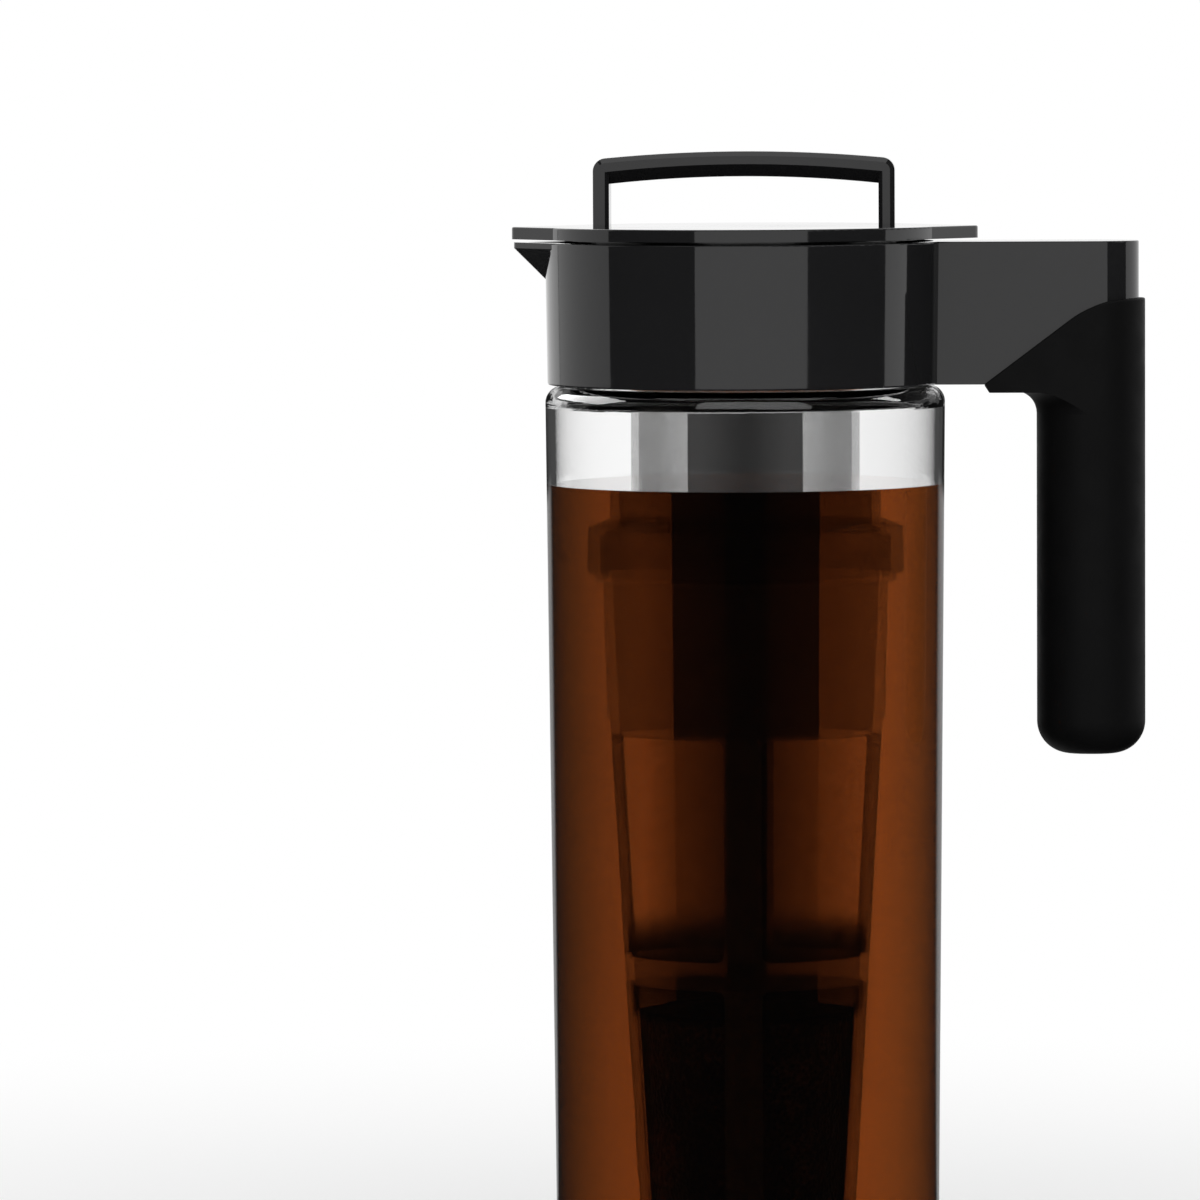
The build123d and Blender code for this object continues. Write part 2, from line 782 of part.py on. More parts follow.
# ------------------------------------------------------------------------------------------------
# Stem: the long tube with the cap that takes the filter's neck
# ------------------------------------------------------------------------------------------------

with BuildPart() as stem:
    with BuildSketch(Plane.XZ):
        with BuildLine():
            stem_outline = FilletPolyline(
                (stem_radius, cap_top_height),
                (cap_radius_top, cap_top_height - cap_chamfer_height),
                (cap_radius_bottom, cap_bottom_height),
                (cap_bore_radius, cap_bottom_height),
                radius=cap_edge,
            )
            Polyline(
                stem_outline @ 1,
                (cap_bore_radius, cap_bore_top),
                (stem_bore_radius, cap_bore_top + cap_chamfer_height),
                (stem_bore_radius, stem_top),
                (stem_radius, stem_top),
                stem_outline @ 0,
            )
        make_face()
    revolve(axis=Axis.Z)

stem.part.label = "stem"
export_step(stem.part, "parts/stem.step")

# ------------------------------------------------------------------------------------------------
# Filter gasket: the loose ring that the cap squeezes on the filter's flange
# ------------------------------------------------------------------------------------------------

with BuildPart() as filter_gasket:
    with BuildSketch(Plane.XY.offset(flange_top + gasket_play)):
        Circle(flange_radius)
        Circle(filter_neck_radius + ring_play, mode=Mode.SUBTRACT)
    extrude(amount=gasket_height)

filter_gasket.part.label = "filter_gasket"
export_step(filter_gasket.part, "parts/filter_gasket.step")

# ------------------------------------------------------------------------------------------------
# Filter frame: neck, flange, solid head and a tapering cage with two tiers of windows
# ------------------------------------------------------------------------------------------------

with BuildPart() as filter_frame:
    with BuildSketch(Plane.XZ):
        with BuildLine():
            Polyline(
                (filter_neck_radius, filter_neck_top),
                (filter_neck_radius, flange_top),
                (flange_radius, flange_top),
                (flange_radius, flange_bottom),
                (filter_neck_radius, flange_bottom),
                (filter_head_radius_bottom, filter_head_bottom),
                (frame_radius_top, filter_head_bottom),
                (frame_radius_bottom, filter_bottom_height),
                (frame_radius_bottom - floor_ring_width, filter_bottom_height),
                (frame_radius_bottom - floor_ring_width, filter_bottom_height + floor_thickness),
                (
                    frame_radius_at(filter_bottom_height + floor_thickness) - filter_wall,
                    filter_bottom_height + floor_thickness,
                ),
                (frame_radius_top - filter_wall, filter_head_bottom),
                (filter_neck_radius - filter_wall, flange_bottom),
                (filter_neck_radius - filter_wall, filter_neck_top),
                close=True,
            )
        make_face()
    revolve(axis=Axis.Z)
    with PolarLocations(0, 4):
        add(window_cutter(crossbar_top, upper_window_top), mode=Mode.SUBTRACT)
        add(window_cutter(lower_window_bottom, crossbar_bottom), mode=Mode.SUBTRACT)

filter_frame.part.label = "filter_frame"
export_step(filter_frame.part, "parts/filter_frame.step")

# ------------------------------------------------------------------------------------------------
# Filter mesh: two tiers of curved panels in the windows and a round floor
# ------------------------------------------------------------------------------------------------

mesh_upper = mesh_panels(crossbar_top, upper_window_top)
mesh_upper.label = "mesh_upper"
export_step(mesh_upper, "parts/mesh_upper.step")

mesh_lower = mesh_panels(lower_window_bottom, crossbar_bottom)
mesh_lower.label = "mesh_lower"
export_step(mesh_lower, "parts/mesh_lower.step")

with BuildPart() as mesh_floor:
    with BuildSketch(Plane.XY.offset(filter_bottom_height + mesh_inset)):
        Circle(frame_radius_bottom - floor_ring_width)
    extrude(amount=mesh_thickness)

mesh_floor.part.label = "mesh_floor"
export_step(mesh_floor.part, "parts/mesh_floor.step")
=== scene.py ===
import math

import bmesh
import bpy
from bpy.props import FloatProperty, FloatVectorProperty, PointerProperty
from mathutils import Matrix, Vector, noise


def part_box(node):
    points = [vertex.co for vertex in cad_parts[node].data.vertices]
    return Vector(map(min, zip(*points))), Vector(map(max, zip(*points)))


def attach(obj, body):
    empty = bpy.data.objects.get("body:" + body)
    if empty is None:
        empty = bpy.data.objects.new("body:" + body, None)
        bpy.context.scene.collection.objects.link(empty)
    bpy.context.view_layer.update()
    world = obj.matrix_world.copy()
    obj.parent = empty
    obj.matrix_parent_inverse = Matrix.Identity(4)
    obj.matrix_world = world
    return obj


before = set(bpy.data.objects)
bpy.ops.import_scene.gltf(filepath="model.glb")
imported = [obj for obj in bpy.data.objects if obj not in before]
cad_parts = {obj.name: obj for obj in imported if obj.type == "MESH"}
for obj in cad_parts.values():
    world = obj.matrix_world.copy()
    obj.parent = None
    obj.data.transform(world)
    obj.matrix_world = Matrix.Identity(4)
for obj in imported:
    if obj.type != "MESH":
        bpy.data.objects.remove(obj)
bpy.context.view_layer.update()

bl_info = {
    "name": "Cold brew coffee maker",
    "version": (1, 0, 0),
    "blender": (4, 5, 0),
    "location": "3D View > Sidebar > Cold Brew",
    "description": "Finishes, contents and studio for a glass cold brew maker with a hanging filter",
    "category": "Object",
}

MM = 0.001

floor_mesh_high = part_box("mesh_floor")[1]
lower_mesh_low, lower_mesh_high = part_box("mesh_lower")
upper_mesh_low, upper_mesh_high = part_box("mesh_upper")


# ------------------------------------------------------------------------------------------------
# Sizes and colours that a user would change
# ------------------------------------------------------------------------------------------------


class CarafeContents(bpy.types.PropertyGroup):
    """What the carafe and the filter hold."""

    coffee_level: FloatProperty(
        name="Coffee level", description="Height of the coffee's surface above the table",
        default=0.2235, min=0.03, max=0.24, unit="LENGTH",
    )
    coffee_floor: FloatProperty(
        name="Coffee floor", description="Height of the glass floor inside the carafe",
        default=0.0046, unit="LENGTH",
    )
    coffee_foot: FloatProperty(
        name="Coffee radius at the floor",
        description="Inside radius of the glass where its wall meets its floor",
        default=0.0474, unit="LENGTH",
    )
    coffee_spread: FloatProperty(
        name="Coffee spread", description="How much the inside radius grows for each metre of height",
        default=0.00951, precision=5,
    )
    coffee_heel: FloatProperty(
        name="Coffee heel", description="Rounding where the coffee's side meets its floor",
        default=0.0072, unit="LENGTH",
    )
    coffee_wetting: FloatProperty(
        name="Coffee wetting",
        description="How far the coffee's side reaches into the glass, so that they touch",
        default=0.00015, unit="LENGTH",
    )
    coffee_tint: FloatVectorProperty(
        name="Coffee tint", description="What the coffee lets through, however thick it is",
        default=(0.425, 0.174, 0.070), subtype="COLOR", min=0, max=1,
    )
    coffee_colour: FloatVectorProperty(
        name="Coffee colour", description="What a layer of coffee lets through",
        default=(0.688, 0.446, 0.11), subtype="COLOR", min=0, max=1,
    )
    coffee_strength: FloatProperty(
        name="Coffee strength", description="How quickly the coffee takes up light with its depth",
        default=32.0, min=0,
    )
    grounds_level: FloatProperty(
        name="Grounds level", description="Height of the top of the ground coffee",
        default=0.0865, unit="LENGTH",
    )
    grounds_mound: FloatProperty(
        name="Grounds mound", description="How much higher the ground coffee lies in the middle",
        default=0.0020, unit="LENGTH",
    )
    fines_climb: FloatProperty(
        name="Fines climb",
        description="How far up the mesh the fine coffee that clings to it thins out",
        default=0.0130, unit="LENGTH",
    )
    grounds_unevenness: FloatProperty(
        name="Grounds unevenness", description="Height of the hills on top of the ground coffee",
        default=0.0014, unit="LENGTH",
    )
    grounds_dark: FloatVectorProperty(
        name="Wet grounds", description="Colour of the wettest ground coffee",
        default=(0.020, 0.012, 0.010), subtype="COLOR", min=0, max=1,
    )
    grounds_light: FloatVectorProperty(
        name="Bright grounds", description="Colour of the brightest ground coffee",
        default=(0.10, 0.055, 0.036), subtype="COLOR", min=0, max=1,
    )


class MakerFinishes(bpy.types.PropertyGroup):
    """Colours of the maker's own parts."""

    gloss_black: FloatVectorProperty(
        name="Gloss black", description="Colour of the collar, the lid and its arch",
        default=(0.0105, 0.0105, 0.011), subtype="COLOR", min=0, max=1,
    )
    inner_black: FloatVectorProperty(
        name="Inner black", description="Colour of the plastic parts inside",
        default=(0.012, 0.012, 0.0125), subtype="COLOR", min=0, max=1,
    )
    grip_black: FloatVectorProperty(
        name="Grip black", description="Colour of the soft handle grip",
        default=(0.0032, 0.0032, 0.0034), subtype="COLOR", min=0, max=1,
    )
    smoke: FloatVectorProperty(
        name="Smoke", description="Colour of the stem's and the filter's see-through plastic",
        default=(0.06, 0.055, 0.05), subtype="COLOR", min=0, max=1,
    )
    stained: FloatVectorProperty(
        name="Stained smoke", description="Colour of the filter frame's plastic, stained by coffee",
        default=(0.22, 0.20, 0.185), subtype="COLOR", min=0, max=1,
    )
    seal_grey: FloatVectorProperty(
        name="Seal grey", description="Colour of the soft rings",
        default=(0.035, 0.035, 0.037), subtype="COLOR", min=0, max=1,
    )
    thread_colour: FloatVectorProperty(
        name="Mesh thread", description="Colour of the filter's woven thread",
        default=(0.45, 0.38, 0.28), subtype="COLOR", min=0, max=1,
    )
    steel: FloatVectorProperty(
        name="Steel", description="Colour of the plated screws",
        default=(0.62, 0.62, 0.60), subtype="COLOR", min=0, max=1,
    )
    dust: FloatVectorProperty(
        name="Dust", description="Colour of the dust on level faces",
        default=(0.32, 0.31, 0.29), subtype="COLOR", min=0, max=1,
    )


class StudioSetup(bpy.types.PropertyGroup):
    """The floor, the lamps and the camera."""

    floor_radius: FloatProperty(
        name="Floor radius", description="How far the pale floor reaches",
        default=14.0, unit="LENGTH",
    )
    floor_colour: FloatVectorProperty(
        name="Floor colour", description="Colour of the floor near the maker",
        default=(0.92, 0.92, 0.92), subtype="COLOR", min=0, max=1,
    )
    room_level: FloatProperty(
        name="Room level", description="Light from all round on matt surfaces", default=0.62, min=0,
    )
    gloss_level: FloatProperty(
        name="Room in gloss", description="How bright the room looks in a gloss surface, beside the lamps",
        default=0.02, min=0,
    )
    rim_level: FloatProperty(
        name="Rim level", description="How bright the room is by reflection inside the glass wall's edges",
        default=0.08, min=0,
    )
    side_level: FloatProperty(
        name="Side level", description="How bright the room's sides are to matt things in the coffee",
        default=1.2, min=0,
    )
    left_level: FloatProperty(
        name="Left level", description="How bright the room's left side is through glass",
        default=1.30, min=0,
    )
    right_level: FloatProperty(
        name="Right level", description="How bright the room's right side is through glass",
        default=0.75, min=0,
    )
    camera_turn: FloatProperty(
        name="Camera turn", description="Where the camera stands round the maker, towards the handle",
        default=math.radians(1.95), subtype="ANGLE",
    )
    camera_distance: FloatProperty(
        name="Camera distance", description="From the maker's axis to the camera",
        default=2.190, unit="LENGTH",
    )
    camera_height: FloatProperty(
        name="Camera height", description="Height of the camera above the table",
        default=0.33174, unit="LENGTH",
    )
    camera_yaw: FloatProperty(
        name="Camera yaw", description="How far the camera looks to the right of the axis",
        default=math.radians(0.996), subtype="ANGLE",
    )
    camera_pitch: FloatProperty(
        name="Camera pitch", description="How far the camera looks down",
        default=math.radians(3.625), subtype="ANGLE",
    )
    camera_roll: FloatProperty(
        name="Camera roll", description="How far the camera leans",
        default=math.radians(-0.263), subtype="ANGLE",
    )
    camera_lens: FloatProperty(
        name="Focal length", description="Focal length for a sensor 36 mm wide", default=252.09, min=1,
    )


# ------------------------------------------------------------------------------------------------
# Shader node groups
# ------------------------------------------------------------------------------------------------


def node_group(name, inputs, outputs):
    """An empty group with number inputs given as (name, default), and its ends."""
    group = bpy.data.node_groups.new(name, "ShaderNodeTree")
    for label, default in inputs:
        socket = group.interface.new_socket(label, in_out="INPUT", socket_type="NodeSocketFloat")
        socket.default_value = default
    for label in outputs:
        group.interface.new_socket(label, in_out="OUTPUT", socket_type="NodeSocketFloat")
    start = group.nodes.new("NodeGroupInput")
    end = group.nodes.new("NodeGroupOutput")
    return group, start, end


def add_math(tree, operation, first, second=None):
    """A Math node on two sockets or numbers; returns its output."""
    node = tree.nodes.new("ShaderNodeMath")
    node.operation = operation
    for socket, value in zip(node.inputs, (first, second)):
        if isinstance(value, (int, float)):
            socket.default_value = value
        elif value is not None:
            tree.links.new(value, socket)
    return node.outputs[0]


def add_range(tree, value, low, high, to_low, to_high, smooth=True):
    """A Map Range node from low..high to to_low..to_high; returns its output."""
    node = tree.nodes.new("ShaderNodeMapRange")
    node.interpolation_type = "SMOOTHSTEP" if smooth else "LINEAR"
    tree.links.new(value, node.inputs["Value"])
    for label, given in (("From Min", low), ("From Max", high), ("To Min", to_low), ("To Max", to_high)):
        if isinstance(given, (int, float)):
            node.inputs[label].default_value = given
        else:
            tree.links.new(given, node.inputs[label])
    return node.outputs["Result"]


def add_noise(tree, coordinates, scale, detail=3.0, roughness=0.55):
    """A Noise Texture in three dimensions; returns its value."""
    node = tree.nodes.new("ShaderNodeTexNoise")
    tree.links.new(coordinates, node.inputs["Vector"])
    if isinstance(scale, (int, float)):
        node.inputs["Scale"].default_value = scale
    else:
        tree.links.new(scale, node.inputs["Scale"])
    node.inputs["Detail"].default_value = detail
    node.inputs["Roughness"].default_value = roughness
    return node.outputs["Fac"]


def object_place(tree):
    """Where a point lies on the object itself, in metres."""
    return tree.nodes.new("ShaderNodeTexCoord").outputs["Object"]


def split(tree, vector):
    """The X, Y and Z of a vector; returns the three outputs."""
    node = tree.nodes.new("ShaderNodeSeparateXYZ")
    tree.links.new(vector, node.inputs[0])
    return node.outputs


def build_moulded_surface():
    """Moulded plastic: uneven gloss in clouds, the mould's grain as height, and a shade for the colour."""
    group, start, end = node_group(
        "Moulded surface",
        [("Cloud scale", 60.0), ("Grain scale", 2500.0), ("Smoothest", 0.08), ("Roughest", 0.14)],
        ["Roughness", "Height", "Shade"],
    )
    place = object_place(group)
    cloud = add_noise(group, place, start.outputs["Cloud scale"])
    grain = add_noise(group, place, start.outputs["Grain scale"], detail=2.0)
    gloss = add_range(group, cloud, 0.3, 0.7, start.outputs["Smoothest"], start.outputs["Roughest"])
    group.links.new(gloss, end.inputs["Roughness"])
    group.links.new(grain, end.inputs["Height"])
    group.links.new(add_math(group, "MULTIPLY", cloud, grain), end.inputs["Shade"])
    return group


def build_settled_dust():
    """Dust on faces that look up: a mask that is strongest on level places and broken up by noise."""
    group, start, end = node_group("Settled dust", [("Amount", 0.2), ("Speck scale", 900.0)], ["Dust"])
    normal = group.nodes.new("ShaderNodeNewGeometry").outputs["Normal"]
    level = add_range(group, split(group, normal)["Z"], 0.6, 1.0, 0.0, 1.0)
    cloud = add_noise(group, object_place(group), start.outputs["Speck scale"], detail=4.0)
    specks = add_range(group, cloud, 0.45, 0.75, 0.0, 1.0)
    settled = add_math(group, "MULTIPLY", level, specks)
    group.links.new(add_math(group, "MULTIPLY", settled, start.outputs["Amount"]), end.inputs["Dust"])
    return group


def build_woven_threads():
    """A plain weave from two lengths over the cloth: where its threads are, and their height."""
    group, start, end = node_group(
        "Woven threads", [("Across", 0.0), ("Along", 0.0), ("Pitch", 0.0004)], ["Cover", "Height"]
    )
    thread_edge, thread_crown = 0.75, 0.97
    waves = []
    for label in ("Across", "Along"):
        turns = add_math(group, "DIVIDE", start.outputs[label], start.outputs["Pitch"])
        wave = add_math(group, "COSINE", add_math(group, "MULTIPLY", turns, math.tau))
        waves.append(add_range(group, wave, thread_edge, thread_crown, 0.0, 1.0))
    thread = add_math(group, "MAXIMUM", *waves)
    group.links.new(thread, end.inputs["Cover"])
    group.links.new(thread, end.inputs["Height"])
    return group


def use_group(tree, group, **values):
    """Places a group in a material with its own values, given by socket names with _ for a space."""
    node = tree.nodes.new("ShaderNodeGroup")
    node.node_tree = group
    for label, value in values.items():
        socket = node.inputs[label.replace("_", " ")]
        if isinstance(value, (int, float)):
            socket.default_value = value
        else:
            tree.links.new(value, socket)
    return node


# ------------------------------------------------------------------------------------------------
# Materials
# ------------------------------------------------------------------------------------------------


def new_material(name, **values):
    """A material with a Principled shader, and its sockets set by their names with _ for a space."""
    material = bpy.data.materials.new(name)
    material.use_nodes = True
    shader = material.node_tree.nodes["Principled BSDF"]
    for label, value in values.items():
        shader.inputs[label.replace("_", " ")].default_value = value
    return material, material.node_tree, shader


def colour4(colour, gain=1.0):
    """A colour with full alpha, made lighter or darker by a gain."""
    return (*[min(1.0, c * gain) for c in colour], 1.0)


def add_colours(tree, factor, low, high):
    """Mixes two colours by a factor; returns the colour."""
    node = tree.nodes.new("ShaderNodeMix")
    node.data_type = "RGBA"
    tree.links.new(factor, node.inputs["Factor"])
    for label, colour in ((6, low), (7, high)):
        if isinstance(colour, bpy.types.NodeSocket):
            tree.links.new(colour, node.inputs[label])
        else:
            node.inputs[label].default_value = colour
    return node.outputs[2]


def add_bump(tree, shader, height, distance, strength=1.0):
    """Feeds a height into the shader's Normal."""
    node = tree.nodes.new("ShaderNodeBump")
    node.inputs["Distance"].default_value = distance
    node.inputs["Strength"].default_value = strength
    tree.links.new(height, node.inputs["Height"])
    tree.links.new(node.outputs["Normal"], shader.inputs["Normal"])


def mix_surface(tree, factor, first, second):
    """Mixes two shaders by a factor into the material's surface."""
    node = tree.nodes.new("ShaderNodeMixShader")
    for socket, output in zip(node.inputs, (factor, first.outputs[0], second.outputs[0])):
        tree.links.new(output, socket)
    tree.links.new(node.outputs[0], tree.nodes["Material Output"].inputs["Surface"])


def opaque_plastic(
    name, colour, smoothest, roughest, cloud_scale, grain_scale, grain_depth, dust, **values
):
    """Solid coloured plastic or rubber with a mould's grain, uneven gloss and a trace of dust."""
    material, tree, shader = new_material(name, **values)
    surface = use_group(
        tree, bpy.data.node_groups["Moulded surface"], Cloud_scale=cloud_scale, Grain_scale=grain_scale,
        Smoothest=smoothest, Roughest=roughest,
    )
    settled = use_group(tree, bpy.data.node_groups["Settled dust"], Amount=dust)
    dark, bright, dust_roughness = 0.85, 1.4, 0.4
    plain = add_colours(tree, surface.outputs["Shade"], colour4(colour, dark), colour4(colour, bright))
    dust_colour = colour4(bpy.context.scene.maker_finishes.dust)
    dusty = add_colours(tree, settled.outputs["Dust"], plain, dust_colour)
    tree.links.new(dusty, shader.inputs["Base Color"])
    dulled = add_math(tree, "MULTIPLY", settled.outputs["Dust"], dust_roughness)
    tree.links.new(add_math(tree, "ADD", surface.outputs["Roughness"], dulled), shader.inputs["Roughness"])
    add_bump(tree, shader, surface.outputs["Height"], grain_depth)
    return material


def smoke_plastic(name, colour, film, most_slant, clear_from=None, thick=None, ribs=None):
    """Smoke-coloured plastic: a face holds back a share of the light, and more where it is seen at a slant.

    Above clear_from it is thin; between the two heights given for the cap's chamfer it holds back more,
    which is painted shade on the chamfer, not thicker plastic; and in the ribs, below the height ribs[0],
    it is denser, but less so in the ring between ribs[1] and ribs[2]."""
    material, tree, shader = new_material(name, IOR=1.45)
    surface = use_group(
        tree, bpy.data.node_groups["Moulded surface"], Cloud_scale=45.0, Grain_scale=260.0,
        Smoothest=0.10, Roughest=0.20,
    )
    tree.links.new(
        add_colours(tree, surface.outputs["Shade"], colour4(colour, 1.1), colour4(colour, 0.85)),
        shader.inputs["Base Color"],
    )
    tree.links.new(surface.outputs["Roughness"], shader.inputs["Roughness"])
    thinnest, thickest = film * 0.94, film * 1.06
    held = add_range(tree, surface.outputs["Shade"], 0.0, 0.5, thinnest, thickest)
    up = split(tree, object_place(tree))["Z"]
    if clear_from is not None:
        step, thin_gain = 1.0 * MM, 0.12
        thinning = add_range(tree, up, clear_from - step, clear_from + step, 1.0, thin_gain)
        held = add_math(tree, "MULTIPLY", held, thinning)
    if ribs is not None:
        rib_top, ring_foot, ring_top = ribs
        step, rib_gain, ring_gain = 0.5 * MM, 2.2, 1.25
        over_ring = add_range(tree, up, ring_top - step, ring_top + step, 0.0, 1.0)
        under_ring = add_range(tree, up, ring_foot - step, ring_foot + step, 1.0, 0.0)
        in_rib = add_math(tree, "MAXIMUM", over_ring, under_ring)
        gain = add_range(tree, in_rib, 0.0, 1.0, ring_gain, rib_gain)
        denser = add_range(tree, up, rib_top - step, rib_top + step, gain, 1.0)
        held = add_math(tree, "MULTIPLY", held, denser)
    # painted shade: a band of extra cover at the cap's chamfer stands in for the chamfer's shading
    if thick is not None:
        middle, half = (thick[0] + thick[1]) / 2, (thick[1] - thick[0]) / 2
        plain_half, more = half * 0.7, 0.10
        offset = add_math(tree, "ABSOLUTE", add_math(tree, "SUBTRACT", up, middle))
        held = add_math(tree, "ADD", held, add_range(tree, offset, plain_half, half, more, 0.0))
    view = tree.nodes.new("ShaderNodeLayerWeight")
    view.inputs["Blend"].default_value = 0.5
    squareness = add_math(tree, "SUBTRACT", 1.0, view.outputs["Facing"])
    slant = add_math(tree, "DIVIDE", 1.0, add_math(tree, "MAXIMUM", squareness, 1.0 / most_slant))
    passed = add_math(tree, "POWER", add_math(tree, "SUBTRACT", 1.0, held), slant)
    tree.links.new(add_math(tree, "SUBTRACT", 1.0, passed), shader.inputs["Alpha"])
    add_bump(tree, shader, surface.outputs["Height"], 0.02 * MM)
    return material


def carafe_glass():
    """Blown glass: clear, with slow waves that run round the body."""
    material, tree, shader = new_material("carafe glass", Transmission_Weight=1.0, IOR=1.46)
    shader.inputs["Base Color"].default_value = (1.0, 1.0, 1.0, 1.0)
    place = object_place(tree)
    stretch = tree.nodes.new("ShaderNodeMapping")
    stretch.inputs["Scale"].default_value = (1.0, 1.0, 0.35)
    tree.links.new(place, stretch.inputs["Vector"])
    waves = add_noise(tree, stretch.outputs["Vector"], 55.0, detail=1.0)
    breath = add_noise(tree, place, 24.0, detail=4.0)
    tree.links.new(add_range(tree, breath, 0.35, 0.75, 0.0, 0.012), shader.inputs["Roughness"])
    add_bump(tree, shader, waves, 0.02 * MM)
    return material


def filter_mesh(name, flat, fines_top, fines_most, grounds_level=0.0):
    """Fine woven mesh: its threads veil what lies behind, and fine coffee clings to it.

    The fines hide the share fines_most between the grounds' level and fines_top, and thin out above."""
    contents, finishes = bpy.context.scene.carafe_contents, bpy.context.scene.maker_finishes
    pitch, thread_share, thread_depth = 0.42 * MM, 0.15, 0.08 * MM
    fines_wander, fines_foot, stain_dark = 1.5 * MM, 3.0 * MM, 0.45
    material, tree, shader = new_material(name, Roughness=0.5, IOR=1.3)
    place = object_place(tree)
    parts = split(tree, place)
    up = parts["Z"]
    if flat:
        across, along = parts["X"], parts["Y"]
    else:
        turn = add_math(tree, "ARCTAN2", parts["Y"], parts["X"])
        across, along = add_math(tree, "MULTIPLY", turn, lower_mesh_high.x), up
    weave = use_group(tree, bpy.data.node_groups["Woven threads"], Across=across, Along=along, Pitch=pitch)
    stain = add_range(tree, add_noise(tree, place, 220.0, detail=4.0), 0.35, 0.7, 0.0, 1.0)
    clean, stained = colour4(finishes.thread_colour), colour4(finishes.thread_colour, stain_dark)
    thread = add_colours(tree, stain, clean, stained)
    patches = add_noise(tree, place, 60.0, detail=3.0)
    wander = add_range(tree, patches, 0.25, 0.75, -fines_wander, fines_wander)
    height = add_math(tree, "ADD", up, wander)
    fines = add_range(tree, height, fines_top, fines_top + contents.fines_climb, 1.0, 0.0)
    colour = add_colours(tree, fines, thread, colour4(contents.grounds_dark))
    tree.links.new(colour, shader.inputs["Base Color"])
    threads = add_math(tree, "MULTIPLY", weave.outputs["Cover"], thread_share)
    clear_of_grounds = add_range(tree, up, grounds_level - fines_foot, grounds_level, 0.0, fines_most)
    clinging = add_math(tree, "MULTIPLY", fines, clear_of_grounds)
    tree.links.new(add_math(tree, "MAXIMUM", threads, clinging), shader.inputs["Alpha"])
    add_bump(tree, shader, weave.outputs["Height"], thread_depth)
    return material


def coffee_liquid():
    """Strong coffee: clear, taking up light with depth, and darkest where its side is seen at a slant."""
    contents = bpy.context.scene.carafe_contents
    edge_from, edge_full, edge_gain = 0.08, 0.297, 0.012
    material, tree, shader = new_material(
        "coffee", Transmission_Weight=1.0, IOR=1.185, Roughness=0.0, Coat_IOR=1.45, Coat_Roughness=0.0
    )
    haze = add_range(tree, add_noise(tree, object_place(tree), 35.0), 0.3, 0.7, 0.0, 1.0)
    facing = tree.nodes.new("ShaderNodeLayerWeight")
    facing.inputs["Blend"].default_value = 0.5
    edge = add_range(tree, facing.outputs["Facing"], edge_from, edge_full, 0.0, 1.0, smooth=False)
    normal = tree.nodes.new("ShaderNodeNewGeometry").outputs["Normal"]
    upright = add_range(tree, add_math(tree, "ABSOLUTE", split(tree, normal)["Z"]), 0.05, 0.3, 1.0, 0.0)
    edge = add_math(tree, "MULTIPLY", edge, upright)
    tree.links.new(add_math(tree, "SUBTRACT", 1.0, upright), shader.inputs["Coat Weight"])
    body = add_colours(tree, haze, colour4(contents.coffee_tint, 1.02), colour4(contents.coffee_tint, 0.97))
    shade = add_colours(tree, edge, body, colour4(contents.coffee_tint, edge_gain))
    tree.links.new(shade, shader.inputs["Base Color"])
    absorb = tree.nodes.new("ShaderNodeVolumeAbsorption")
    absorb.inputs["Color"].default_value = colour4(contents.coffee_colour)
    absorb.inputs["Density"].default_value = contents.coffee_strength
    tree.links.new(absorb.outputs["Volume"], tree.nodes["Material Output"].inputs["Volume"])
    return material


def wet_grounds():
    """Ground coffee, wet: grains of several sizes, dark with brighter flecks."""
    contents = bpy.context.scene.carafe_contents
    material, tree, shader = new_material("wet coffee grounds", Specular_IOR_Level=0.35)
    place = object_place(tree)
    grains = tree.nodes.new("ShaderNodeTexVoronoi")
    grains.inputs["Scale"].default_value = 900.0
    tree.links.new(place, grains.inputs["Vector"])
    patches = add_noise(tree, place, 75.0, detail=5.0)
    brightness = add_range(tree, patches, 0.3, 0.75, 0.2, 1.4)
    fleck = add_math(tree, "MULTIPLY", grains.outputs["Distance"], brightness)
    tree.links.new(
        add_colours(tree, fleck, colour4(contents.grounds_dark), colour4(contents.grounds_light)),
        shader.inputs["Base Color"],
    )
    tree.links.new(add_range(tree, patches, 0.3, 0.7, 0.45, 0.8), shader.inputs["Roughness"])
    add_bump(tree, shader, grains.outputs["Distance"], 0.4 * MM)
    return material


def plated_steel():
    """Plated screws: bright, with turned marks and small stains."""
    finishes = bpy.context.scene.maker_finishes
    material, tree, shader = new_material("plated steel", Metallic=1.0)
    surface = use_group(
        tree, bpy.data.node_groups["Moulded surface"], Cloud_scale=700.0, Grain_scale=5000.0,
        Smoothest=0.18, Roughest=0.34,
    )
    tree.links.new(
        add_colours(tree, surface.outputs["Shade"], colour4(finishes.steel), colour4(finishes.steel, 0.7)),
        shader.inputs["Base Color"],
    )
    tree.links.new(surface.outputs["Roughness"], shader.inputs["Roughness"])
    add_bump(tree, shader, surface.outputs["Height"], 0.01 * MM)
    return material


def dress(material, *names):
    """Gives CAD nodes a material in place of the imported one."""
    for name in names:
        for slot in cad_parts[name].material_slots:
            slot.material = material


# ------------------------------------------------------------------------------------------------
# Modelling
# ------------------------------------------------------------------------------------------------


def turned(profile, segments):
    """A closed body turned about Z from half its section, given as (radius, height) from axis to axis."""
    mesh = bmesh.new()
    points = [mesh.verts.new((radius, 0.0, height)) for radius, height in profile]
    edges = [mesh.edges.new(pair) for pair in zip(points, points[1:])]
    bmesh.ops.spin(
        mesh, geom=points + edges, cent=(0, 0, 0), axis=(0, 0, 1), angle=math.tau, steps=segments,
        use_merge=True,
    )
    bmesh.ops.remove_doubles(mesh, verts=mesh.verts, dist=1e-6)
    bmesh.ops.recalc_face_normals(mesh, faces=mesh.faces)
    return mesh


